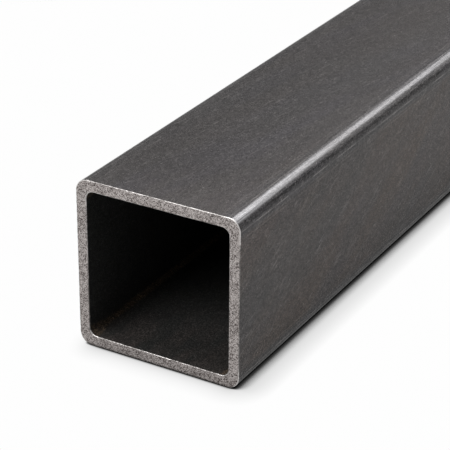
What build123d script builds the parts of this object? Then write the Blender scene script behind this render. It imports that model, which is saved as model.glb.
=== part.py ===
from build123d import *

import os

# A length of mild steel square tube (a square hollow section), sawn square at
# both ends and lying on one of its four flat walls.
#
# X runs across the tube, Y along it and +Z up. The origin is under the middle
# of its length, so the underside is at Z = 0 and the sawn ends are half the
# length away along Y. All sizes are in millimetres.

# Driving dimensions
SIDE = 60.0  # width and height over the outside of the section
WALL = 4.0  # thickness of the flat walls
OUTER_CORNER_RADIUS = 4.5  # outside of the four rolled corners
INNER_CORNER_RADIUS = 2.6  # inside of the same corners
LENGTH = 1000.0  # from one sawn face to the other
EDGE_BREAK = 0.4  # 45 degree deburring chamfer on every edge of a sawn face

# The square hollow that runs through the tube
BORE_SIDE = SIDE - 2 * WALL

# The section is drawn on the far sawn end, centred on the tube's axis, and the
# plane's normal points back along the tube to the other end.
far_end = Plane(
    origin=(0, LENGTH / 2, SIDE / 2),
    x_dir=(1, 0, 0),
    z_dir=(0, -1, 0),
)

with BuildPart() as square_tube:
    # The corners are rolled tighter inside than the wall alone would leave
    # them, so the steel is a little thicker across each corner than in a wall.
    with BuildSketch(far_end) as section:
        RectangleRounded(SIDE, SIDE, OUTER_CORNER_RADIUS)
        RectangleRounded(BORE_SIDE, BORE_SIDE, INNER_CORNER_RADIUS, mode=Mode.SUBTRACT)
    extrude(amount=LENGTH)

    # Both sawn faces are deburred, round the outside and round the hollow.
    sawn_faces = square_tube.faces().filter_by(Axis.Y)
    chamfer(sawn_faces.edges(), length=EDGE_BREAK)

square_tube.part.label = "square_tube"

os.makedirs("parts", exist_ok=True)
export_step(square_tube.part, "parts/square_tube.step")
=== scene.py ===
"""Looks of a sawn length of mild steel square tube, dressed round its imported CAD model.

Everything is in metres, in the frame of the CAD model: X across the tube, Y along it, Z up from the
floor that it lies on, with the origin under the middle of its length.
"""

import logging
import math
from collections.abc import Callable
from dataclasses import dataclass, field
from enum import Enum, IntEnum
from typing import NamedTuple

import bmesh
import bpy
from mathutils import Matrix, Vector


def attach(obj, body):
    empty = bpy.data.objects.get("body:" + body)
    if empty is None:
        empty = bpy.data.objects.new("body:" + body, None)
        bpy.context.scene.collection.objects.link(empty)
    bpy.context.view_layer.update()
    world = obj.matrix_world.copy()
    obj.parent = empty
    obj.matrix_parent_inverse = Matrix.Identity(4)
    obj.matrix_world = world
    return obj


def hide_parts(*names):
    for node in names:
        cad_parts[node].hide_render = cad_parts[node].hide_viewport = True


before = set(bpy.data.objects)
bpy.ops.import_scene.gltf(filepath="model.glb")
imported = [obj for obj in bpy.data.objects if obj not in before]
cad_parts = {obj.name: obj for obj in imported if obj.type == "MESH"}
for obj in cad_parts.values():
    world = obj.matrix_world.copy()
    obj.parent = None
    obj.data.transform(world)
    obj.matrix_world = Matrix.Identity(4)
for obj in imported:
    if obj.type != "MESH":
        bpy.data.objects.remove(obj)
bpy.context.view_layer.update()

MM = 0.001  # metres in a millimetre
log = logging.getLogger("square_tube")


def linear(hex_colour: str) -> tuple[float, float, float, float]:
    """Turn an sRGB hex colour into the linear RGBA that a shader socket takes.

    Args:
        hex_colour: The colour as "#rrggbb".

    Returns:
        Its red, green and blue as linear numbers, and 1 for its alpha.
    """
    channels = [int(hex_colour[i : i + 2], 16) / 255 for i in (1, 3, 5)]
    return tuple(c / 12.92 if c <= 0.04045 else ((c + 0.055) / 1.055) ** 2.4 for c in channels) + (1.0,)


def add_node(
    tree: bpy.types.NodeTree, kind: str, inputs: dict | None = None, **settings: object
) -> bpy.types.Node:
    """Add a shader node with its settings and links.

    A Mix node takes its factor at input 0, then two numbers at 2 and 3, two vectors at 4 and 5, or
    two colours at 6 and 7.

    Args:
        tree: The node tree that gets the node.
        kind: The node's type without its leading "ShaderNode".
        inputs: For each input, by name or number, what goes in: a node, whose first output in use is
            linked, a socket, which is linked, or a plain value, which is set.
        **settings: The node's own properties, such as its operation.

    Returns:
        The new node.
    """
    node = tree.nodes.new("ShaderNode" + kind)
    for name, value in settings.items():
        setattr(node, name, value)
    for name, value in (inputs or {}).items():
        if isinstance(value, bpy.types.Node):
            value = next(socket for socket in value.outputs if socket.enabled)
        if isinstance(value, bpy.types.NodeSocket):
            tree.links.new(value, node.inputs[name])
        else:
            node.inputs[name].default_value = value
    return node


def new_material(name: str) -> tuple[bpy.types.Material, bpy.types.NodeTree]:
    """Make a material with an empty node tree.

    Args:
        name: What the material is and how its surface was made.

    Returns:
        The material and its node tree.
    """
    material = bpy.data.materials.new(name)
    material.use_nodes = True
    material.node_tree.nodes.clear()
    return material, material.node_tree


def give_shader(
    tree: bpy.types.NodeTree,
    colour: bpy.types.Node,
    metallic: float,
    roughness: bpy.types.Node | float,
    relief: bpy.types.Node,
    depth: float,
    specular: float = 0.5,
) -> None:
    """Close a material with its shader, lit with a fine relief.

    Args:
        tree: The material's node tree.
        colour: Its colour.
        metallic: How metallic it is.
        roughness: How rough it is.
        relief: The pattern of its relief.
        depth: How high a step of 1 in that pattern stands.
        specular: How strongly what isn't metal in it reflects, where 0.5 is plain.
    """
    bump = add_node(tree, "Bump", {"Strength": 1.0, "Distance": depth, "Height": relief})
    shader = {"Base Color": colour, "Metallic": metallic, "Roughness": roughness}
    shader |= {"Normal": bump, "Specular IOR Level": specular}
    shader = add_node(tree, "BsdfPrincipled", shader)
    add_node(tree, "OutputMaterial", {"Surface": shader})


class Surface(IntEnum):
    """The four surfaces of the tube, numbered as its material slots."""

    OUTSIDE = 0
    SAWN_FACE = 1
    BORE = 2
    FILED_EDGE = 3


class Span(NamedTuple):
    """The two ends of a range."""

    low: float
    high: float


class ByWall(NamedTuple):
    """A value for the two level walls, and one for the two upright ones."""

    level: float
    upright: float


def few_bright(tree: bpy.types.NodeTree, lot: bpy.types.NodeSocket, swing: Span) -> bpy.types.Node:
    """Turn the even lots of crystals into shades, of which most are dark and few are bright.

    Args:
        tree: The material's node tree.
        lot: Each crystal's lot, from 0 to 1.
        swing: The shades of the darkest and of the brightest.

    Returns:
        The node that gives a crystal's shade.
    """
    shade = add_node(tree, "Math", {0: lot, 1: 3.0}, operation="POWER")
    return add_node(tree, "MapRange", {"Value": shade, "To Min": swing.low, "To Max": swing.high})


@dataclass(frozen=True)
class Section:
    """The sizes of the tube that a finish follows."""

    half_side: float
    wall_edge: float  # where a flat wall ends and its rounded corner starts, from the wall's middle
    half_length: float
    turn: float = 1.5 * MM  # how far either side of a corner's middle a finish changes from wall to wall


@dataclass(frozen=True)
class Spot:
    """The point of the tube that a material is shading, measured by nodes for its patterns to follow."""

    section: Section
    tree: bpy.types.NodeTree
    here: bpy.types.NodeSocket  # its Object coordinates
    across: bpy.types.NodeSocket  # its X
    height: bpy.types.NodeSocket  # its Z
    along: bpy.types.Node  # how far it is from mid-length, to either end
    off_middle: bpy.types.Node  # how far it is from the middle line of its wall
    on_side: bpy.types.Node  # 1 on an upright wall, 0 on a level one

    @classmethod
    def on_tube(cls, tree: bpy.types.NodeTree, section: Section) -> "Spot":
        """Add the nodes that measure where the shaded point lies.

        Args:
            tree: The material's node tree.
            section: The tube's sizes.

        Returns:
            The measured point.
        """
        here = add_node(tree, "TexCoord").outputs["Object"]
        x, y, z = add_node(tree, "SeparateXYZ", {0: here}).outputs
        along = add_node(tree, "Math", {0: y}, operation="ABSOLUTE")
        sideways = add_node(tree, "Math", {0: x}, operation="ABSOLUTE")
        raised = add_node(tree, "Math", {0: z, 1: section.half_side}, operation="SUBTRACT")
        raised = add_node(tree, "Math", {0: raised}, operation="ABSOLUTE")
        off_middle = add_node(tree, "Math", {0: sideways, 1: raised}, operation="MINIMUM")
        lead = add_node(tree, "Math", {0: sideways, 1: raised}, operation="SUBTRACT")
        on_side = {"Value": lead, "From Min": -section.turn, "From Max": section.turn}
        on_side = add_node(tree, "MapRange", on_side)
        return cls(section, tree, here, x, z, along, off_middle, on_side)

    def towards_end(self, length: float, before: float = 0.0, at_end: float = 1.0) -> bpy.types.Node:
        """Go evenly from one value to another over the last stretch of the tube, at both ends.

        Args:
            length: How long the stretch is.
            before: The value up to the stretch.
            at_end: The value at the sawn face.

        Returns:
            The node that gives the value.
        """
        last = self.section.half_length
        stretch = {"Value": self.along, "From Min": last - length, "From Max": last}
        return add_node(self.tree, "MapRange", stretch | {"To Min": before, "To Max": at_end})


class Mark(NamedTuple):
    """One kind of small mark in the oxide: its size, its slant, and how often and strongly it shows."""

    width: float
    stretch: float  # how many times longer than wide it is
    lean: float  # how much further than the grain it leans
    chance: float
    strength: float


class RolledLineHighlight(NamedTuple):
    """A thin pale line by each corner: partly a roll mark, partly a painted highlight."""

    inset: float  # how far it lies inside the edge of the flat wall
    paleness: float


@dataclass(frozen=True)
class MillScale:
    """Hot rolled mill scale on mild steel: blue-black oxide, dull and grainy, bare along one corner.

    The oxide gives a dark grey with faint brownish and bluish clouds, and a fine slanting grain that
    breaks up every reflection. Handling leaves groups of pale scratches and specks and scrapes one
    corner bare, and the forming rolls leave scores and thin lines beside the corners. The bare band
    and the lines are lightened further as painted highlights, the level walls carry painted light,
    lighter to the right, and the upright walls painted shade near their corners.

    A noise runs from 0 to 1 and is mostly about 0.5. Here and in the other finishes, the range that
    its node "MapRange" starts from, such as 0.3 to 0.7, picks the part of it that the pattern uses.
    """

    section: Section
    # How far the grain leans for each step along the tube: across a level wall, or down an upright one.
    lean: ByWall = ByWall(0.15, 0.55)
    dark: str = "#413f3f"
    light: str = "#464444"
    brown: str = "#55483f"
    blue: str = "#464449"
    pale: str = "#a8a3a1"
    deep: str = "#232121"
    # the bare band's colour, pale also as a painted highlight
    rubbed_highlight: str = "#8d8c8e"
    metallic: float = 0.5
    specular: float = 0.3
    roughness: Span = Span(0.21, 0.41)  # of the smoothest and of the roughest crystals
    # Across a level wall, along the tube, and up an upright wall. The real grain is nearer 0.1 mm
    # across, and so are the crystals. Both are drawn coarser, so that they show.
    grain: tuple[float, float, float] = (0.34 * MM, 3.0 * MM, 0.5 * MM)
    crystal: tuple[float, float, float] = (0.23 * MM, 0.38 * MM, 0.25 * MM)
    grain_swing: Span = Span(-0.09, 0.2)  # how much the grain darkens and lightens the oxide
    crystal_swing: Span = Span(-0.32, 1.02)  # the same for its crystals, of which few are bright
    depth: ByWall = ByWall(1.0, 1.25)  # how strongly both show
    scratches: tuple[Mark, ...] = (
        Mark(0.26 * MM, 16.0, -0.05, 0.1, 0.42),
        Mark(0.26 * MM, 10.0, 0.12, 0.1, 0.42),
        Mark(0.28 * MM, 36.0, 0.0, 0.05, 0.5),
        Mark(0.4 * MM, 1.5, 0.1, 0.06, 0.5),
    )
    dents: tuple[Mark, ...] = (Mark(0.45 * MM, 3.0, 0.2, 0.05, 0.5),)
    mark_rise: float = 1.8  # how much taller a mark is on an upright wall than wide on a level one
    gather: float = 5.0 * MM  # the size of the groups that the scratches gather in
    lines: tuple[RolledLineHighlight, ...] = (
        RolledLineHighlight(-0.2 * MM, 0.5),
        RolledLineHighlight(1.4 * MM, 0.14),
        RolledLineHighlight(2.6 * MM, 0.22),
    )
    line_width: Span = Span(0.08 * MM, 0.3 * MM)  # how far from its middle a line is full, and ends
    line_break: float = 7.0 * MM  # how long the stretches are that it is broken into
    left_line_highlights: float = 0.25  # how firm the lines are on the left half, where their painted highlight is weaker
    cloud: float = 11.0 * MM
    cloud_shape: tuple[float, float, float] = (0.8, 5.0, 0.8)  # its size across, along and up, in clouds
    stain: float = 18.0 * MM
    browned: ByWall = ByWall(0.1, 0.62)  # how brown the brown stains are
    brown_edge: Span = Span(0.5 * MM, 2.5 * MM)  # how far from a corner they end, and are full
    blued: float = 0.35  # how blue the bluish ones are
    lit_to_right: Span = Span(0.97, 1.4)  # painted light: how light a level wall is at its left and at its right edge
    handled_length: float = 22.0 * MM
    handled: Span = Span(1.02, 1.28)  # how light it is before and at its handled ends
    flat_light: float = 0.99  # how light an upright wall is in its middle and near its corners, where it is painted shade
    edge_light: float = 0.82
    edge_from: Span = Span(0.4, 0.9)  # the change, as shares of the way from its middle to its edge
    score: float = 0.35 * MM
    score_stretch: float = 60.0  # how many times longer than wide a score is
    scored_width: float = 6.0 * MM  # how far into a flat wall the scores reach
    scoring: float = 0.3  # how far the scores lighten and darken the oxide
    score_height: float = 2.1  # their height, in heights of the grain
    rub_highlight_length: float = 80.0 * MM  # how far from an end the corner band and its painted highlight are stronger
    rub_highlight_amount: Span = Span(0.51, 0.92)
    rub_highlight_inset: Span = Span(-0.4 * MM, 0.9 * MM)  # how far into the corner the band starts, and is full
    rub_highlight_rise: Span = Span(0.5 * MM, 1.4 * MM)  # how far above the corner's middle it does the same
    rub_highlight_rounding: float = 1.1 * MM  # how much further round the corner it starts at an end
    rub_highlight_drop: float = 1.3 * MM  # how much lower it reaches at an end
    bump: float = 0.02 * MM

    def material(self) -> bpy.types.Material:
        """Build the material, all in Object coordinates.

        Returns:
            The finished material.
        """
        material, tree = new_material("mild_steel_hot_rolled_mill_scale")
        spot = Spot.on_tube(tree, self.section)
        leaning = self.slanted(spot)
        fine = add_node(tree, "Mapping", {"Vector": leaning, "Scale": self.grain}, vector_type="TEXTURE")
        grain = add_node(tree, "TexNoise", {"Vector": fine, "Scale": 1.0, "Detail": 0.0})
        cells = add_node(tree, "Mapping", {"Vector": leaning, "Scale": self.crystal}, vector_type="TEXTURE")
        cells = add_node(tree, "TexVoronoi", {"Vector": cells, "Scale": 1.0})
        crystals = add_node(tree, "SeparateColor", {0: cells.outputs["Color"]}).outputs
        scores = self.scored(spot)
        edge = self.section.wall_edge
        near_corner = {"Value": spot.off_middle, "From Min": edge - self.scored_width, "From Max": edge}
        near_corner = add_node(tree, "MapRange", near_corner)

        # The grain and the crystals, with the scores added beside the corners, over the slow drift,
        # which is mostly painted light and shade.
        swing = {"Value": grain, "From Min": 0.38, "From Max": 0.78}
        swing |= {"To Min": self.grain_swing.low, "To Max": self.grain_swing.high}
        swing = add_node(tree, "MapRange", swing)
        sparkle = few_bright(tree, crystals[0], self.crystal_swing)
        swing = add_node(tree, "Math", {0: swing, 1: sparkle}, operation="ADD")
        scoring = {"Value": scores, "From Min": 0.35, "From Max": 0.65}
        scoring |= {"To Min": -self.scoring, "To Max": self.scoring}
        scoring = add_node(tree, "MapRange", scoring)
        swing = add_node(tree, "Math", {0: scoring, 1: near_corner, 2: swing}, operation="MULTIPLY_ADD")
        depth = {"Value": spot.on_side, "To Min": self.depth.level, "To Max": self.depth.upright}
        depth = add_node(tree, "MapRange", depth)
        shade = {0: swing, 1: depth, 2: self.drift(spot)}
        shade = add_node(tree, "Math", shade, operation="MULTIPLY_ADD")
        colour = {0: 1.0, 6: self.oxide(spot, leaning), 7: shade}
        colour = add_node(tree, "Mix", colour, data_type="RGBA", blend_type="MULTIPLY")

        # The marks lie over it, and the bare corner band over them, lightened as a painted highlight
        # and broken up by the scores.
        colour = self.marked(spot, colour)
        ragged = {"Value": scores, "From Min": 0.34, "From Max": 0.6, "To Min": 0.38}
        ragged = add_node(tree, "MapRange", ragged)
        worn_and_highlight = add_node(tree, "Math", {0: self.rubbed_highlight_corner(spot), 1: ragged}, operation="MULTIPLY")
        colour = add_node(tree, "Mix", {0: worn_and_highlight, 6: colour, 7: linear(self.rubbed_highlight)}, data_type="RGBA")

        gloss = {"Value": crystals[1], "To Min": self.roughness.high, "To Max": self.roughness.low}
        gloss = add_node(tree, "MapRange", gloss)
        relief = add_node(tree, "Math", {0: scores, 1: self.score_height}, operation="MULTIPLY")
        relief = add_node(tree, "Mix", {0: near_corner, 2: grain, 3: relief}, data_type="FLOAT")
        give_shader(tree, colour, self.metallic, gloss, relief, self.bump, self.specular)
        return material

    def slanted(self, spot: Spot, more: float = 0.0) -> bpy.types.Node:
        """Turn the coordinates on each wall so that a pattern drawn along Y leans across the wall.

        Args:
            spot: The point being shaded.
            more: How much further than the grain the pattern leans for each step along the tube.

        Returns:
            The node that gives the turned coordinates.
        """
        level = {"Vector": spot.here, "Angle": math.atan(self.lean.level + more)}
        level = add_node(spot.tree, "VectorRotate", level, rotation_type="Z_AXIS")
        upright = {"Vector": spot.here, "Angle": -math.atan(self.lean.upright + more)}
        upright = add_node(spot.tree, "VectorRotate", upright, rotation_type="X_AXIS")
        wall = add_node(spot.tree, "Math", {0: spot.on_side, 1: 0.5}, operation="GREATER_THAN")
        return add_node(spot.tree, "Mix", {0: wall, 4: level, 5: upright}, data_type="VECTOR")

    def oxide(self, spot: Spot, leaning: bpy.types.Node) -> bpy.types.Node:
        """Mix the oxide's own colour: grey clouds, with brown stains mostly on the upright walls.

        Args:
            spot: The point being shaded.
            leaning: The coordinates that lean with the grain.

        Returns:
            The node that gives the colour.
        """
        tree = spot.tree
        size = tuple(share * self.cloud for share in self.cloud_shape)
        wide = add_node(tree, "Mapping", {"Vector": leaning, "Scale": size}, vector_type="TEXTURE")
        clouds = {"Vector": wide, "Scale": 1.0, "Detail": 2.0, "Roughness": 0.5}
        tone = add_node(tree, "TexNoise", clouds)
        tone = add_node(tree, "MapRange", {"Value": tone, "From Min": 0.3, "From Max": 0.7})
        colour = {0: tone, 6: linear(self.dark), 7: linear(self.light)}
        colour = add_node(tree, "Mix", colour, data_type="RGBA")

        stains = add_node(tree, "TexNoise", clouds | {"Scale": self.cloud / self.stain})
        stains = add_node(tree, "SeparateColor", {0: stains.outputs["Color"]}).outputs
        browning = {"Value": stains[1], "From Min": 0.2, "From Max": 0.75}
        browning = add_node(tree, "MapRange", browning, interpolation_type="SMOOTHSTEP")
        amount = {"Value": spot.on_side, "To Min": self.browned.level, "To Max": self.browned.upright}
        amount = add_node(tree, "MapRange", amount)
        browning = add_node(tree, "Math", {0: browning, 1: amount}, operation="MULTIPLY")
        last, full = (self.section.wall_edge - inset for inset in self.brown_edge)
        flat = {"Value": spot.off_middle, "From Min": last, "From Max": full}
        flat = add_node(tree, "MapRange", flat, interpolation_type="SMOOTHSTEP")
        browning = add_node(tree, "Math", {0: browning, 1: flat}, operation="MULTIPLY")
        colour = add_node(tree, "Mix", {0: browning, 6: colour, 7: linear(self.brown)}, data_type="RGBA")
        blueing = {"Value": stains[2], "From Min": 0.42, "From Max": 0.66, "To Max": self.blued}
        blueing = add_node(tree, "MapRange", blueing, interpolation_type="SMOOTHSTEP")
        return add_node(tree, "Mix", {0: blueing, 6: colour, 7: linear(self.blue)}, data_type="RGBA")

    def drift(self, spot: Spot) -> bpy.types.Node:
        """Work out how the walls slowly lighten and darken, mostly as painted light and shade.

        A level wall is lighter to the right, as painted light, and at its ends, where it is
        handled. An upright wall is darker near its corners, as painted shade.

        Args:
            spot: The point being shaded.

        Returns:
            The node that gives how light the oxide is, about 1.
        """
        tree, side = spot.tree, self.section.half_side
        # Painted light: a level wall is lighter towards its right edge.
        thin = add_node(tree, "MapRange", {"Value": spot.across, "From Min": -side, "From Max": side})
        thin = add_node(tree, "Math", {0: thin, 1: 2.0}, operation="POWER")
        thin = {"Value": thin, "To Min": self.lit_to_right.low, "To Max": self.lit_to_right.high}
        thin = add_node(tree, "MapRange", thin)
        handled = spot.towards_end(self.handled_length, self.handled.low, self.handled.high)
        level = add_node(tree, "Math", {0: thin, 1: handled}, operation="MULTIPLY")
        # Painted shade: an upright wall is darker towards its corners.
        start, full = (share * side for share in self.edge_from)
        upright = {"Value": spot.off_middle, "From Min": start, "From Max": full}
        upright |= {"To Min": self.flat_light, "To Max": self.edge_light}
        upright = add_node(tree, "MapRange", upright)
        return add_node(tree, "Mix", {0: spot.on_side, 2: level, 3: upright}, data_type="FLOAT")

    def marked(self, spot: Spot, colour: bpy.types.Node) -> bpy.types.Node:
        """Lay dark dents, pale scratches and rolled lines, partly painted highlights, over the oxide.

        Args:
            spot: The point being shaded.
            colour: The oxide's colour.

        Returns:
            The node that gives the colour with its marks.
        """
        tree = spot.tree
        dented = self.drawn(spot, self.dents)
        colour = add_node(tree, "Mix", {0: dented, 6: colour, 7: linear(self.deep)}, data_type="RGBA")
        groups = add_node(tree, "TexNoise", {"Vector": spot.here, "Scale": 1 / self.gather, "Detail": 2.0})
        groups = {"Value": groups, "From Min": 0.4, "From Max": 0.66, "To Min": 0.4}
        groups = add_node(tree, "MapRange", groups)
        worn_and_highlight = {0: self.drawn(spot, self.scratches), 1: groups, 2: self.rolled_lines_and_highlights(spot)}
        worn_and_highlight = add_node(tree, "Math", worn_and_highlight, operation="MULTIPLY_ADD")
        return add_node(tree, "Mix", {0: worn_and_highlight, 6: colour, 7: linear(self.pale)}, data_type="RGBA")

    def drawn(self, spot: Spot, kinds: tuple[Mark, ...]) -> bpy.types.Node:
        """Draw kinds of small marks, each scattered at random.

        Args:
            spot: The point being shaded.
            kinds: The marks to draw together.

        Returns:
            The node that gives how strongly a mark shows, from 0 to about 1.
        """
        tree, total = spot.tree, None
        for kind in kinds:
            size = (kind.width, kind.stretch * kind.width, self.mark_rise * kind.width)
            cells = {"Vector": self.slanted(spot, kind.lean), "Scale": size}
            cells = add_node(tree, "Mapping", cells, vector_type="TEXTURE")
            cells = add_node(tree, "TexVoronoi", {"Vector": cells, "Scale": 1.0}).outputs
            mark = {"Value": cells["Distance"], "From Min": 0.55, "From Max": 0.25}
            mark = add_node(tree, "MapRange", mark)
            lot = add_node(tree, "SeparateColor", {0: cells["Color"]}).outputs[0]
            chosen = {"Value": lot, "From Min": 1 - kind.chance, "From Max": 1.0, "To Max": kind.strength}
            chosen = add_node(tree, "MapRange", chosen)
            last = {0: mark, 1: chosen, 2: total if total else 0.0}
            total = add_node(tree, "Math", last, operation="MULTIPLY_ADD")
        return total

    def rolled_lines_and_highlights(self, spot: Spot) -> bpy.types.Node:
        """Draw the roll lines by each corner, partly painted highlights, faint on the left half.

        Args:
            spot: The point being shaded.

        Returns:
            The node that gives how pale the lines are, from 0 to 1.
        """
        tree, total = spot.tree, None
        breaks = {"Vector": spot.here, "Scale": 1 / self.line_break, "Detail": 3.0}
        breaks = add_node(tree, "TexNoise", breaks)
        breaks = {"Value": breaks, "From Min": 0.44, "From Max": 0.62, "To Min": 0.3}
        breaks = add_node(tree, "MapRange", breaks)
        # Painted highlight: the lines are fainter towards the left.
        firm = {"Value": spot.across, "From Min": 0.0, "From Max": self.section.half_side / 2}
        firm = add_node(tree, "MapRange", firm | {"To Min": self.left_line_highlights})
        breaks = add_node(tree, "Math", {0: breaks, 1: firm}, operation="MULTIPLY")
        for line in self.lines:
            off_line = {0: spot.off_middle, 1: self.section.wall_edge - line.inset}
            off_line = add_node(tree, "Math", off_line, operation="SUBTRACT")
            off_line = add_node(tree, "Math", {0: off_line}, operation="ABSOLUTE")
            share = {"Value": off_line, "From Min": self.line_width.high, "From Max": self.line_width.low}
            share = add_node(tree, "MapRange", share | {"To Max": line.paleness})
            last = {0: share, 1: breaks, 2: total if total else 0.0}
            total = add_node(tree, "Math", last, operation="MULTIPLY_ADD")
        return total

    def scored(self, spot: Spot) -> bpy.types.Node:
        """Draw the long fine scores that the forming rolls leave along the tube.

        Args:
            spot: The point being shaded.

        Returns:
            The node that gives their height, from 0 to 1.
        """
        long = {"Vector": spot.here, "Scale": (self.score, self.score_stretch * self.score, self.score)}
        long = add_node(spot.tree, "Mapping", long, vector_type="TEXTURE")
        scores = {"Vector": long, "Scale": 1.0, "Detail": 3.0, "Roughness": 0.6}
        return add_node(spot.tree, "TexNoise", scores)

    def rubbed_highlight_corner(self, spot: Spot) -> bpy.types.Node:
        """Draw the bare band on the upper right corner, partly wear and partly a painted highlight.

        Stock dragged over the corner has scraped it bare, and the band also paints its highlight. Towards
        the ends the band is stronger and lies further round the corner.

        Args:
            spot: The point being shaded.

        Returns:
            The node that gives how strong the bare band and its painted highlight are, from 0 to 1.
        """
        tree = spot.tree
        at_end = spot.towards_end(self.rub_highlight_length)
        turned = {0: at_end, 1: -self.rub_highlight_rounding, 2: spot.off_middle}
        turned = add_node(tree, "Math", turned, operation="MULTIPLY_ADD")
        start, full = (self.section.wall_edge + inset for inset in self.rub_highlight_inset)
        corner = {"Value": turned, "From Min": start, "From Max": full}
        corner = add_node(tree, "MapRange", corner, interpolation_type="SMOOTHSTEP")
        # only the upper right corner, which catches the light, carries the painted highlight
        to_right = add_node(tree, "Math", {0: spot.across, 1: 0.0}, operation="GREATER_THAN")
        lead = add_node(tree, "Math", {0: spot.height, 1: spot.across}, operation="SUBTRACT")
        lead = add_node(tree, "Math", {0: at_end, 1: self.rub_highlight_drop, 2: lead}, operation="MULTIPLY_ADD")
        start, full = (self.section.half_side + rise for rise in self.rub_highlight_rise)
        upward = add_node(tree, "MapRange", {"Value": lead, "From Min": start, "From Max": full})
        amount = {"Value": at_end, "To Min": self.rub_highlight_amount.low, "To Max": self.rub_highlight_amount.high}
        total = add_node(tree, "MapRange", amount)
        for share in (corner, upward, to_right):
            total = add_node(tree, "Math", {0: total, 1: share}, operation="MULTIPLY")
        return total


@dataclass(frozen=True)
class PaintedContactShade:
    """Painted shade where the tube meets the floor: a contact shadow that darkens a finish there."""

    darkest_under: float
    unshaded_over: float
    darkest: float

    def over(
        self, tree: bpy.types.NodeTree, height: bpy.types.NodeSocket, colour: bpy.types.Node
    ) -> bpy.types.Node:
        """Lay the painted shade over a finish.

        Args:
            tree: The material's node tree.
            height: The height above the floor.
            colour: The finish's unshaded colour.

        Returns:
            The node that gives the colour with the painted shade.
        """
        unshaded = {"Value": height, "From Min": self.darkest_under, "From Max": self.unshaded_over}
        unshaded |= {"To Min": self.darkest}
        unshaded = add_node(tree, "MapRange", unshaded, interpolation_type="SMOOTHSTEP")
        contact_shaded = {0: 1.0, 6: colour, 7: unshaded}
        return add_node(tree, "Mix", contact_shaded, data_type="RGBA", blend_type="MULTIPLY")


@dataclass(frozen=True)
class SawnSteel:
    """Bare mild steel cut by a band saw and left to dull: light grey with dark pits, gritty, matt."""

    bright: str = "#cec7c4"
    dull: str = "#4e4441"
    pit: str = "#2e2a29"
    metallic: float = 0.85
    roughness: Span = Span(0.35, 0.65)
    # painted contact shadow along the foot of the sawn face
    contact_shade: PaintedContactShade = PaintedContactShade(0.2 * MM, 1.1 * MM, 0.2)
    grit: float = 0.3 * MM  # the real grit is nearer 0.1 mm and is drawn coarser, so that it shows
    grit_share: float = 0.8  # how much of the tone is grit, and the rest is wider patches
    patches: float = 0.14  # how many patches lie along one grain of grit, and how many pits
    pits: float = 0.5
    bump: float = 0.05 * MM

    def material(self) -> bpy.types.Material:
        """Build the material, all in Object coordinates.

        Returns:
            The finished material.
        """
        material, tree = new_material("mild_steel_band_sawn")
        here = add_node(tree, "TexCoord").outputs["Object"]
        fine = add_node(tree, "Mapping", {"Vector": here, "Scale": (self.grit,) * 3}, vector_type="TEXTURE")
        grit = add_node(tree, "TexNoise", {"Vector": fine, "Scale": 1.0, "Detail": 1.0, "Roughness": 0.6})
        wide = {"Vector": fine, "Scale": self.patches, "Detail": 3.0, "Roughness": 0.6}
        wide = add_node(tree, "TexNoise", wide)
        tone = add_node(tree, "Math", {0: grit, 1: self.grit_share}, operation="MULTIPLY")
        tone = {0: wide, 1: 1.0 - self.grit_share, 2: tone}
        tone = add_node(tree, "Math", tone, operation="MULTIPLY_ADD")
        share = add_node(tree, "MapRange", {"Value": tone, "From Min": 0.375, "From Max": 0.59})
        colour = {0: share, 6: linear(self.dull), 7: linear(self.bright)}
        colour = add_node(tree, "Mix", colour, data_type="RGBA")

        cells = add_node(tree, "TexVoronoi", {"Vector": fine, "Scale": self.pits}).outputs
        inside = add_node(tree, "MapRange", {"Value": cells["Distance"], "From Min": 0.5, "From Max": 0.15})
        lot = add_node(tree, "SeparateColor", {0: cells["Color"]}).outputs[0]
        chosen = add_node(tree, "MapRange", {"Value": lot, "From Min": 0.45, "From Max": 0.9})
        pitted = add_node(tree, "Math", {0: inside, 1: chosen}, operation="MULTIPLY")
        colour = add_node(tree, "Mix", {0: pitted, 6: colour, 7: linear(self.pit)}, data_type="RGBA")
        height = add_node(tree, "SeparateXYZ", {0: here}).outputs["Z"]
        colour = self.contact_shade.over(tree, height, colour)

        gloss = {"Value": grit, "To Min": self.roughness.high, "To Max": self.roughness.low}
        gloss = add_node(tree, "MapRange", gloss)
        relief = add_node(tree, "Math", {0: grit, 1: pitted}, operation="SUBTRACT")
        give_shader(tree, colour, self.metallic, gloss, relief, self.bump)
        return material


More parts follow.
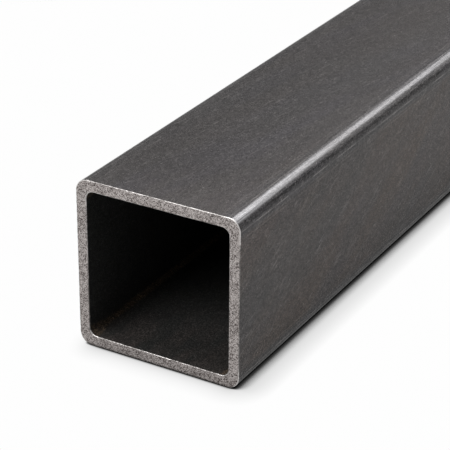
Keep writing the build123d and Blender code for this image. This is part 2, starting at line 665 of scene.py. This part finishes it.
@dataclass(frozen=True)
class BoreScale:
    """The scale inside the tube: blacker than outside, dusted below, with rust along its corners.

    The blacker colour is partly painted shade in the bore. The dusting gives the lower wall soft
    grey clouds near the mouths, which are partly painted light falling in there.
    line in each corner, which spreads a little at the very mouth.
    """

    section: Section  # with the wall_edge of the bore
    # darker than the outside scale, partly as painted shade in the bore
    black: str = "#272726"
    # lighter near the mouths, partly as painted light
    dust_and_light: str = "#34302e"
    rust: str = "#605140"
    metallic: float = 0.2
    specular: float = 0.3
    roughness: float = 0.6
    mottle: float = 6.0 * MM
    mottle_stretch: float = 3.0  # how many times longer than wide a cloud of dust is
    dust_and_light_length: float = 45.0 * MM  # how far in from a mouth the dusting and painted light reach
    dust_and_light_height: Span = Span(0.12, 0.3)  # how high it is full, and ends, as shares of half the side
    grain: float = 0.32 * MM  # the real grain is nearer 0.1 mm and is drawn coarser, so that it shows
    grain_stretch: float = 1.6
    grain_swing: Span = Span(0.25, 1.9)  # how much the grain darkens and lightens the scale
    crystal_swing: Span = Span(0.8, 1.9)  # the same for its crystals, of which few are bright
    rib: float = 0.8 * MM
    rib_stretch: float = 3.0
    rib_slant: float = 0.5  # radians
    rust_from: float = 0.7 * MM  # how far round a corner the rust starts, and where it is full
    rust_full: float = 1.5 * MM
    rust_spread: float = 1.8 * MM  # how much further it reaches at a mouth
    spread_length: float = 9.0 * MM
    fade_length: float = 60.0 * MM  # the last stretch of the tube, over which the rust thins out
    rust_at_mouth: float = 0.45
    bump: float = 0.03 * MM

    def material(self) -> bpy.types.Material:
        """Build the material, all in Object coordinates.

        Returns:
            The finished material.
        """
        material, tree = new_material("mild_steel_bore_scale_and_rust")
        spot = Spot.on_tube(tree, self.section)
        fine = {"Vector": spot.here, "Scale": (self.grain, self.grain_stretch * self.grain, self.grain)}
        fine = add_node(tree, "Mapping", fine, vector_type="TEXTURE")
        grain = add_node(tree, "TexNoise", {"Vector": fine, "Scale": 1.0, "Detail": 2.0})
        crystals = add_node(tree, "TexVoronoi", {"Vector": fine, "Scale": 1.0}).outputs["Color"]
        crystals = add_node(tree, "SeparateColor", {0: crystals}).outputs[0]

        colour = {0: self.dusty_and_lit(spot), 6: linear(self.black), 7: linear(self.dust_and_light)}
        colour = add_node(tree, "Mix", colour, data_type="RGBA")
        colour = {0: self.rusty(spot), 6: colour, 7: linear(self.rust)}
        colour = add_node(tree, "Mix", colour, data_type="RGBA")
        shade = {"Value": grain, "From Min": 0.36, "From Max": 0.72}
        shade |= {"To Min": self.grain_swing.low, "To Max": self.grain_swing.high}
        shade = add_node(tree, "MapRange", shade)
        sparkle = few_bright(tree, crystals, self.crystal_swing)
        shade = add_node(tree, "Math", {0: shade, 1: sparkle}, operation="MULTIPLY")
        colour = {0: 1.0, 6: colour, 7: shade}
        colour = add_node(tree, "Mix", colour, data_type="RGBA", blend_type="MULTIPLY")

        give_shader(tree, colour, self.metallic, self.roughness, grain, self.bump, self.specular)
        return material

    def dusty_and_lit(self, spot: Spot) -> bpy.types.Node:
        """Draw the dusting in clouds on the lower wall near the mouths, partly painted light.

        Args:
            spot: The point being shaded.

        Returns:
            The node that gives how much dusting and painted light there is, from 0 to 1.
        """
        tree = spot.tree
        wide = {"Vector": spot.here, "Scale": (self.mottle, self.mottle_stretch * self.mottle, self.mottle)}
        wide = add_node(tree, "Mapping", wide, vector_type="TEXTURE")
        clouds = add_node(tree, "TexNoise", {"Vector": wide, "Scale": 1.0, "Detail": 4.0})
        clouds = add_node(tree, "MapRange", {"Value": clouds, "From Min": 0.4, "From Max": 0.6})
        full, last = (share * self.section.half_side for share in self.dust_and_light_height)
        low = {"Value": spot.height, "From Min": last, "From Max": full}
        low = add_node(tree, "MapRange", low, interpolation_type="SMOOTHSTEP")
        near_mouth = spot.towards_end(self.dust_and_light_length)
        low = add_node(tree, "Math", {0: low, 1: near_mouth}, operation="MULTIPLY")
        return add_node(tree, "Math", {0: clouds, 1: low}, operation="MULTIPLY")

    def rusty(self, spot: Spot) -> bpy.types.Node:
        """Draw the rust that keeps to the corners, in ribs across them.

        Args:
            spot: The point being shaded.

        Returns:
            The node that gives how rusty the scale is, from 0 to 1.
        """
        tree, edge = spot.tree, self.section.wall_edge
        spread = spot.towards_end(self.spread_length, 0.0, self.rust_spread)
        spread = add_node(tree, "Math", {0: spot.off_middle, 1: spread}, operation="ADD")
        corner = {"Value": spread, "From Min": edge + self.rust_from, "From Max": edge + self.rust_full}
        corner = add_node(tree, "MapRange", corner)
        long = self.rib_stretch * self.rib
        slant = {"Rotation": (self.rib_slant, 0, self.rib_slant), "Scale": (long, self.rib, long)}
        slant = add_node(tree, "Mapping", {"Vector": spot.here} | slant, vector_type="TEXTURE")
        ribs = add_node(tree, "TexNoise", {"Vector": slant, "Scale": 1.0, "Detail": 1.0})
        ribs = {"Value": ribs, "From Min": 0.35, "From Max": 0.6, "To Min": 0.25}
        ribs = add_node(tree, "MapRange", ribs)
        rust = add_node(tree, "Math", {0: corner, 1: ribs}, operation="MULTIPLY")
        faded = spot.towards_end(self.fade_length, 1.0, self.rust_at_mouth)
        return add_node(tree, "Math", {0: rust, 1: faded}, operation="MULTIPLY")


@dataclass(frozen=True)
class FiledEdge:
    """The narrow edge where a file took off the saw's burr: the brightest bare steel on the part.

    The file's strokes leave brighter and duller lengths along the edge, brightest round the corners.
    """

    section: Section
    bright: str = "#dcd8d6"
    dull: str = "#6c6866"
    metallic: float = 0.9
    roughness: float = 0.4
    # painted contact shadow along the filed edge that meets the floor
    contact_shade: PaintedContactShade = PaintedContactShade(0.0, 1.3 * MM, 0.1)
    nick: float = 0.7 * MM
    stroke: float = 9.0 * MM  # how far one stroke of the file reaches along the edge
    corner_gain: float = 0.3  # how much brighter the corners are filed
    corner_inset: Span = Span(-4.0 * MM, 1.0 * MM)  # how far into the corner that starts, and is full
    bump: float = 0.04 * MM

    def material(self) -> bpy.types.Material:
        """Build the material, all in Object coordinates.

        Returns:
            The finished material.
        """
        material, tree = new_material("mild_steel_filed_edge")
        spot = Spot.on_tube(tree, self.section)
        fine = {"Vector": spot.here, "Scale": (self.nick,) * 3}
        fine = add_node(tree, "Mapping", fine, vector_type="TEXTURE")
        nicks = add_node(tree, "TexNoise", {"Vector": fine, "Scale": 1.0, "Detail": 2.0})
        strokes = {"Vector": fine, "Scale": self.nick / self.stroke, "Detail": 1.0}
        strokes = add_node(tree, "TexNoise", strokes)
        tone = add_node(tree, "Math", {0: nicks, 1: strokes}, operation="ADD")
        start, full = (self.section.wall_edge + inset for inset in self.corner_inset)
        corner = {"Value": spot.off_middle, "From Min": start, "From Max": full}
        corner = add_node(tree, "MapRange", corner | {"To Max": self.corner_gain})
        tone = add_node(tree, "Math", {0: tone, 1: corner}, operation="ADD")
        share = add_node(tree, "MapRange", {"Value": tone, "From Min": 0.86, "From Max": 1.36})
        colour = {0: share, 6: linear(self.dull), 7: linear(self.bright)}
        colour = add_node(tree, "Mix", colour, data_type="RGBA")
        colour = self.contact_shade.over(tree, spot.height, colour)

        give_shader(tree, colour, self.metallic, self.roughness, nicks, self.bump)
        return material


class Element(Enum):
    """What of a mesh is picked out in edit mode."""

    FACE = "FACE"
    EDGE = "EDGE"


class Patch(NamedTuple):
    """A rectangle of the UV map that one surface, or a row of it, is laid out on."""

    left: float
    low: float
    width: float
    height: float

    def at(self, across: float, up: float) -> tuple[float, float]:
        """Give the UV place that is these shares of the way across and up the rectangle."""
        return self.left + self.width * across, self.low + self.height * up


@dataclass
class SquareTube:
    """The one piece: a rounded square section with a bore, sawn square and filed at both ends."""

    side: float = 60.0 * MM
    wall: float = 4.0 * MM
    outer_radius: float = 4.5 * MM
    inner_radius: float = 2.6 * MM
    length: float = 1000.0 * MM
    outer_break: float = 0.32 * MM  # the width of the filed edge round a sawn face
    inner_break: float = 0.38 * MM  # the same round the bore
    break_steps: int = 4
    corner_steps: int = 16
    wall_steps: int = 90
    nick_depth: float = 0.16 * MM
    nick_size: float = 0.9 * MM
    smooth_under: float = math.radians(35)
    near: float = 0.01 * MM  # how close two places have to be to count as one
    squarely: float = 0.9  # the least share of a normal along an axis for a face that looks along it
    filed_from: float = 0.01  # the same along the tube, for a filed edge and for a sawn face
    sawn_from: float = 0.99
    outside_patches: tuple[Patch, Patch] = (
        Patch(0.005, 0.235, 0.360, 0.760),
        Patch(0.370, 0.235, 0.360, 0.760),
    )
    bore_patch: Patch = Patch(0.735, 0.235, 0.260, 0.760)
    sawn_patches: tuple[Patch, Patch] = (
        Patch(0.005, 0.040, 0.190, 0.190),
        Patch(0.200, 0.040, 0.190, 0.190),
    )
    filed_patch: Patch = Patch(0.005, 0.003, 0.990, 0.006)  # the first of four rows
    filed_row: float = 0.009  # from each row to the next
    piece: bpy.types.Object | None = field(default=None, repr=False)

    @property
    def bore(self) -> float:
        """The width and height of the bore."""
        return self.side - 2 * self.wall

    def select(
        self, element: Element, chosen: Callable[[bmesh.types.BMFace | bmesh.types.BMEdge], bool]
    ) -> None:
        """In edit mode, select just the faces or edges that a test picks out.

        Args:
            element: Which of the two.
            chosen: The test of one of them.
        """
        bpy.ops.mesh.select_mode(type=element.value)
        bpy.ops.mesh.select_all(action="DESELECT")
        mesh = bpy.context.object.data
        shape = bmesh.from_edit_mesh(mesh)
        for item in shape.faces if element is Element.FACE else shape.edges:
            item.select_set(chosen(item))
        bmesh.update_edit_mesh(mesh)

    def skin(self, name: str, width: float, radius: float) -> bpy.types.Object:
        """Model one open-ended skin of the tube: a block with rounded long edges and no ends.

        Args:
            name: The object's name.
            width: The skin's width and height.
            radius: The radius of its long edges.

        Returns:
            The skin, with its walls divided lengthwise into narrow strips.
        """
        bpy.ops.object.select_all(action="DESELECT")
        size = (width, self.length, width)
        bpy.ops.mesh.primitive_cube_add(size=1, location=(0, 0, self.side / 2), scale=size)
        bpy.ops.object.transform_apply(location=True, rotation=False, scale=True)
        skin = bpy.context.object
        skin.name = name
        bpy.ops.object.mode_set(mode="EDIT")
        self.select(Element.EDGE, lambda edge: edge.calc_length() > self.length - self.near)
        bpy.ops.mesh.bevel(offset=radius, segments=self.corner_steps, affect="EDGES")
        self.select(Element.FACE, lambda face: abs(face.normal.y) > self.squarely)
        bpy.ops.mesh.delete(type="ONLY_FACE")
        self.select(Element.EDGE, lambda edge: radius < edge.calc_length() < self.side)
        bpy.ops.mesh.subdivide(number_cuts=self.wall_steps - 1)
        bpy.ops.object.mode_set(mode="OBJECT")
        return skin

    def build(self) -> None:
        """Model the tube as one closed mesh, dress it and hang it on the frame."""
        inside = self.skin("tube_bore", self.bore, self.inner_radius)
        bpy.ops.object.mode_set(mode="EDIT")
        bpy.ops.mesh.select_all(action="SELECT")
        bpy.ops.mesh.flip_normals()
        bpy.ops.object.mode_set(mode="OBJECT")
        self.piece = self.skin("square_tube_skin", self.side, self.outer_radius)
        inside.select_set(True)
        bpy.ops.object.join()
        bpy.ops.object.mode_set(mode="EDIT")
        for end in (-self.length / 2, self.length / 2):
            self.select(Element.EDGE, lambda edge: all(abs(v.co.y - end) < self.near for v in edge.verts))
            bpy.ops.mesh.bridge_edge_loops()
        for width, offset in ((self.side, self.outer_break), (self.bore, self.inner_break)):
            self.select(Element.EDGE, lambda edge: self.on_rim(edge, width))
            bpy.ops.mesh.bevel(offset=offset, segments=self.break_steps, affect="EDGES")
        bpy.ops.mesh.select_all(action="SELECT")
        bpy.ops.mesh.bisect(plane_co=(0, 0, 0), plane_no=(0, 1, 0))
        bpy.ops.mesh.select_all(action="SELECT")
        bpy.ops.mesh.normals_make_consistent(inside=False)
        bpy.ops.object.mode_set(mode="OBJECT")
        self.dress()
        self.unroll()
        self.nick_edges()
        bpy.ops.object.shade_smooth_by_angle(angle=self.smooth_under)
        flat = self.piece.modifiers.new("flat_walls", "WEIGHTED_NORMAL")
        flat.keep_sharp = True
        bpy.ops.object.modifier_apply(modifier=flat.name)
        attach(self.piece, "root")
        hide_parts("square_tube")

    def on_rim(self, edge: bmesh.types.BMEdge, width: float) -> bool:
        """Tell whether an edge is the sharp one between a sawn face and a skin.

        Args:
            edge: An edge of the mesh.
            width: The skin's width and height.

        Returns:
            True where it is.
        """
        place = edge.verts[0].co
        if len(edge.link_faces) != 2 or abs(abs(place.y) - self.length / 2) > self.near:
            return False
        least, most = sorted(abs(face.normal.y) for face in edge.link_faces)
        across = max(abs(place.x), abs(place.z - self.side / 2))
        on_skin = abs(across - width / 2) < self.wall / 2
        return on_skin and least < 1 - self.squarely and most > self.squarely

    def in_bore(self, centre: Vector) -> bool:
        """Tell whether a face centre is nearer to the bore than to the outside."""
        return max(abs(centre.x), abs(centre.z - self.side / 2)) < self.side / 2 - self.wall / 2

    def dress(self) -> None:
        """Give each face the material of its surface, and mark the filed edges for nicking."""
        mesh = self.piece.data
        outside = Section(self.side / 2, self.side / 2 - self.outer_radius, self.length / 2)
        bore = Section(self.side / 2, self.bore / 2 - self.inner_radius, self.length / 2)
        finishes = {
            Surface.OUTSIDE: MillScale(outside),
            Surface.SAWN_FACE: SawnSteel(),
            Surface.BORE: BoreScale(bore),
            Surface.FILED_EDGE: FiledEdge(outside),
        }
        for surface in Surface:
            mesh.materials.append(finishes[surface].material())
        edge_points = set()
        for face in mesh.polygons:
            slope = abs(face.normal.y)
            if slope > self.sawn_from:
                face.material_index = Surface.SAWN_FACE
            elif slope > self.filed_from:
                face.material_index = Surface.FILED_EDGE
                edge_points.update(face.vertices)
            elif self.in_bore(face.center):
                face.material_index = Surface.BORE
        group = self.piece.vertex_groups.new(name="filed_edges")
        group.add(list(edge_points), 1.0, "REPLACE")

    def round_section(self, point: Vector) -> float:
        """Measure how far round the section a point is, from the lower right corner, up first.

        Args:
            point: A place on the tube.

        Returns:
            The share of the way round, from 0 to 1.
        """
        across, raised = point.x, point.z - self.side / 2
        if across >= abs(raised):
            quarter, along = 0, raised / across
        elif raised >= abs(across):
            quarter, along = 1, -across / raised
        elif -across >= abs(raised):
            quarter, along = 2, raised / across
        else:
            quarter, along = 3, -across / raised
        return (quarter + (along + 1) / 2) / 4

    def unroll(self) -> None:
        """Lay the surfaces out flat on a UV map, for the picture of the finish that goes with the part.

        The outside is cut at mid-length into two columns, the bore is a third column, the sawn faces
        lie below them, and the filed edges are four rows along the bottom.
        """
        mesh = self.piece.data
        layer = mesh.uv_layers.new(name="OFBake").data
        half = self.length / 2
        for face in mesh.polygons:
            surface, far, inner = face.material_index, face.center.y > 0, self.in_bore(face.center)
            middle = self.round_section(face.center)
            for loop in face.loop_indices:
                point = mesh.vertices[mesh.loops[loop].vertex_index].co
                around = self.round_section(point)
                around -= round(around - middle)
                if surface == Surface.OUTSIDE:
                    place = self.outside_patches[far].at(around, abs(point.y) / half)
                elif surface == Surface.BORE:
                    place = self.bore_patch.at(around, (point.y / half + 1) / 2)
                elif surface == Surface.SAWN_FACE:
                    place = self.sawn_patches[far].at(point.x / self.side + 0.5, point.z / self.side)
                else:
                    depth = (half - abs(point.y)) / (self.inner_break if inner else self.outer_break)
                    across, up = self.filed_patch.at(around, depth)
                    place = (across, up + self.filed_row * (2 * inner + far))
                layer[loop].uv = place

    def nick_edges(self) -> None:
        """Press the filed edges in by small uneven amounts, so that they catch the light unevenly."""
        pattern = bpy.data.textures.new("file_nicks", "CLOUDS")
        pattern.noise_scale = self.nick_size
        pattern.noise_depth = 1
        nicks = self.piece.modifiers.new("nicks", "DISPLACE")
        nicks.texture = pattern
        nicks.texture_coords = "LOCAL"
        nicks.vertex_group = "filed_edges"
        nicks.mid_level = 1.0
        nicks.strength = self.nick_depth
        bpy.ops.object.modifier_apply(modifier=nicks.name)


@dataclass(frozen=True)
class SoftBox:
    """A lamp with a plain rectangular face, aimed at the near end of the tube."""

    name: str
    towards: tuple[float, float, float]
    distance: float
    size: tuple[float, float]
    watts: float

    def hang(self, target: Vector) -> None:
        """Hang the lamp and aim it.

        Args:
            target: The point it faces.
        """
        lamp = bpy.data.lights.new(self.name, "AREA")
        lamp.shape = "RECTANGLE"
        lamp.size, lamp.size_y = self.size
        lamp.energy = self.watts
        holder = bpy.data.objects.new(self.name, lamp)
        bpy.context.scene.collection.objects.link(holder)
        direction = Vector(self.towards).normalized()
        holder.location = target + direction * self.distance
        holder.rotation_euler = (-direction).to_track_quat("-Z", "Y").to_euler()


class Shadow(NamedTuple):
    """A soft shadow on the floor, drawn where things close by hide a share of the sky."""

    full_at: float  # the open share of the sky at which the shadow is full
    gone_at: float  # and at which it has gone
    darkest: float
    even: bool = False  # whether it thins out evenly, and not slowly at first and at last

    def over(self, tree: bpy.types.NodeTree, open_sky: bpy.types.NodeSocket) -> bpy.types.Node:
        """Give how light the floor is, from the share of the sky that is open."""
        share = {"Value": open_sky, "From Min": self.full_at, "From Max": self.gone_at}
        course = "LINEAR" if self.even else "SMOOTHSTEP"
        return add_node(tree, "MapRange", share | {"To Min": self.darkest}, interpolation_type=course)


@dataclass
class Studio:
    """A white floor in a dim room with soft lamps, and the camera."""

    near_end: Vector
    side: float
    lamps: tuple[SoftBox, ...] = (
        SoftBox("back_softbox", (0.08, 0.79, 0.61), 4.0, (1.6, 1.5), 33.0),
        SoftBox("low_softbox", (0.4, 0.78, 0.45), 4.0, (1.5, 2.0), 12.0),
        SoftBox("top_softbox", (0.0, 0.1, 1.0), 4.0, (2.0, 2.0), 120.0),
        SoftBox("key_softbox", (-0.3, -0.65, 0.7), 3.0, (1.8, 1.5), 80.0),
    )
    lamp_target: float = 0.1  # how far behind the near end the lamps aim
    room_light: float = 0.1
    curtain_radius: float = 6.0
    curtain_height: float = 4.0
    curtain_panels: int = 64
    curtain_light: float = 0.25
    seen_white: float = 0.99
    mirrored_white: float = 0.75
    floor_width: float = 60.0
    floor_bounce: float = 0.6
    bounce_reach: float = 120.0 * MM  # how far round the tube the floor that it mirrors is darker
    open_way: tuple[float, float, float] = (-0.8, 0.7, 1.0)  # the light comes from here, over the tube
    beside_reach: float = 12.0 * MM  # how far from the tube its shadow reaches
    core: Shadow = Shadow(0.27, 0.51, 0.04)
    fringe: Shadow = Shadow(0.4, 0.93, 0.7, even=True)
    under_reach: float = 1.3 * MM  # how far out from the line of contact the floor is darkest
    under: Shadow = Shadow(0.35, 0.75, 0.1)
    beside_rays: int = 64
    other_rays: int = 16
    sensor: float = 36.0  # the width of the camera's sensor, in mm
    lens: float = 144.8  # mm
    clip: Span = Span(0.01, 200.0)
    stand: tuple[float, float, float] = (4.476, -7.057, 5.028)  # from the near end, in tube widths
    heading: float = 29.95  # degrees
    drop: float = 26.58
    roll: float = -0.47

    def white_ray(self, tree: bpy.types.NodeTree) -> bpy.types.Node:
        """Tell the rays that should meet the white background from those that light things.

        Args:
            tree: The node tree of the material or of the world.

        Returns:
            The node that gives 1 on the first and 0 on the others.
        """
        rays = add_node(tree, "LightPath").outputs
        seen = {0: rays["Is Camera Ray"], 1: rays["Is Glossy Ray"]}
        seen = add_node(tree, "Math", seen, operation="MAXIMUM")
        return add_node(tree, "Math", {0: seen, 1: rays["Is Transmission Ray"]}, operation="MAXIMUM")

    def white(self, tree: bpy.types.NodeTree) -> bpy.types.Node:
        """Set how white the background is: white to the camera, and a little dimmer in reflections.

        Args:
            tree: The node tree of the material or of the world.

        Returns:
            The node that gives its strength.
        """
        rays = add_node(tree, "LightPath").outputs
        level = {"Value": rays["Is Camera Ray"], "To Min": self.mirrored_white, "To Max": self.seen_white}
        return add_node(tree, "MapRange", level)

    def floor_shade(self, tree: bpy.types.NodeTree) -> bpy.types.Node:
        """Draw the tight shadow that the tube leaves on the floor.

        Args:
            tree: The floor material's node tree.

        Returns:
            The node that gives how light the floor is, from 0 to 1.
        """
        open_way = dict(enumerate(Vector(self.open_way).normalized()))
        beside = {"Distance": self.beside_reach, "Normal": add_node(tree, "CombineXYZ", open_way)}
        beside = add_node(tree, "AmbientOcclusion", beside, samples=self.beside_rays).outputs["AO"]
        shaded = {0: self.core.over(tree, beside), 1: self.fringe.over(tree, beside)}
        shaded = add_node(tree, "Math", shaded, operation="MULTIPLY")
        wide = {"Distance": self.bounce_reach}
        wide = add_node(tree, "AmbientOcclusion", wide, samples=self.other_rays).outputs["AO"]
        seen = add_node(tree, "LightPath").outputs["Is Camera Ray"]
        shaded = add_node(tree, "Mix", {0: seen, 2: wide, 3: shaded}, data_type="FLOAT")
        under = {"Distance": self.under_reach}
        under = add_node(tree, "AmbientOcclusion", under, samples=self.other_rays).outputs["AO"]
        shaded = {0: shaded, 1: self.under.over(tree, under)}
        return add_node(tree, "Math", shaded, operation="MULTIPLY")

    def lay_floor(self) -> None:
        """Lay the white floor, which keeps the tube's shadow."""
        bpy.ops.object.select_all(action="DESELECT")
        bpy.ops.mesh.primitive_plane_add(size=self.floor_width)
        floor = bpy.context.object
        floor.name = "floor"
        material, tree = new_material("white_studio_floor")
        white = {"Color": self.floor_shade(tree), "Strength": self.white(tree)}
        white = add_node(tree, "Emission", white)
        paint = add_node(tree, "BsdfDiffuse", {"Color": (self.floor_bounce,) * 3 + (1.0,)})
        both = add_node(tree, "MixShader", {0: self.white_ray(tree), 1: paint, 2: white})
        add_node(tree, "OutputMaterial", {"Surface": both})
        floor.data.materials.append(material)

    def fill_room(self) -> None:
        """Light the room evenly and dimly, and show it white to the camera and to reflections."""
        room = bpy.data.worlds.new("studio_room")
        room.use_nodes = True
        tree = room.node_tree
        tree.nodes.clear()
        light = add_node(tree, "Background", {"Color": (1, 1, 1, 1), "Strength": self.room_light})
        white = add_node(tree, "Background", {"Color": (1, 1, 1, 1), "Strength": self.white(tree)})
        both = add_node(tree, "MixShader", {0: self.white_ray(tree), 1: light, 2: white})
        add_node(tree, "OutputWorld", {"Surface": both})
        bpy.context.scene.world = room

    def hang_curtain(self) -> None:
        """Hang a dim grey curtain round the room, which gives the steel its dark reflections."""
        bpy.ops.object.select_all(action="DESELECT")
        bpy.ops.mesh.primitive_cylinder_add(
            vertices=self.curtain_panels,
            radius=self.curtain_radius,
            depth=self.curtain_height,
            end_fill_type="NOTHING",
            location=(self.near_end.x, self.near_end.y, self.curtain_height / 2),
        )
        curtain = bpy.context.object
        curtain.name = "curtain"
        material, tree = new_material("grey_curtain")
        glow = add_node(tree, "Emission", {"Color": (1, 1, 1, 1), "Strength": self.curtain_light})
        add_node(tree, "OutputMaterial", {"Surface": glow})
        curtain.data.materials.append(material)
        curtain.visible_camera = False

    def set_camera(self) -> None:
        """Stand the camera above and to the right of the near end."""
        data = bpy.data.cameras.new("camera")
        data.sensor_width = self.sensor
        data.lens = self.lens
        data.clip_start, data.clip_end = self.clip
        camera = bpy.data.objects.new("camera", data)
        bpy.context.scene.collection.objects.link(camera)
        camera.location = self.near_end + Vector(self.stand) * self.side
        heading, drop, roll = (math.radians(angle) for angle in (self.heading, self.drop, self.roll))
        turn = Matrix.Rotation(heading, 3, "Z") @ Matrix.Rotation(math.pi / 2 - drop, 3, "X")
        camera.rotation_euler = (turn @ Matrix.Rotation(-roll, 3, "Z")).to_euler()
        bpy.context.scene.camera = camera
        bpy.context.scene.view_settings.view_transform = "Standard"

    def build(self) -> None:
        """Set up the floor, the room, the curtain, the lamps and the camera."""
        self.lay_floor()
        self.fill_room()
        self.hang_curtain()
        for lamp in self.lamps:
            lamp.hang(self.near_end + Vector((0, self.lamp_target, self.side / 2)))
        self.set_camera()


def main() -> None:
    """Build the tube and the studio round it, and log how many faces and lamps they have."""
    logging.basicConfig(level=logging.INFO)
    tube = SquareTube()
    tube.build()
    log.info("%s: %d faces", tube.piece.name, len(tube.piece.data.polygons))
    studio = Studio(Vector((0, -tube.length / 2, 0)), tube.side)
    studio.build()
    log.info("studio: %d lamps", len(studio.lamps))


if __name__ == "__main__":
    main()
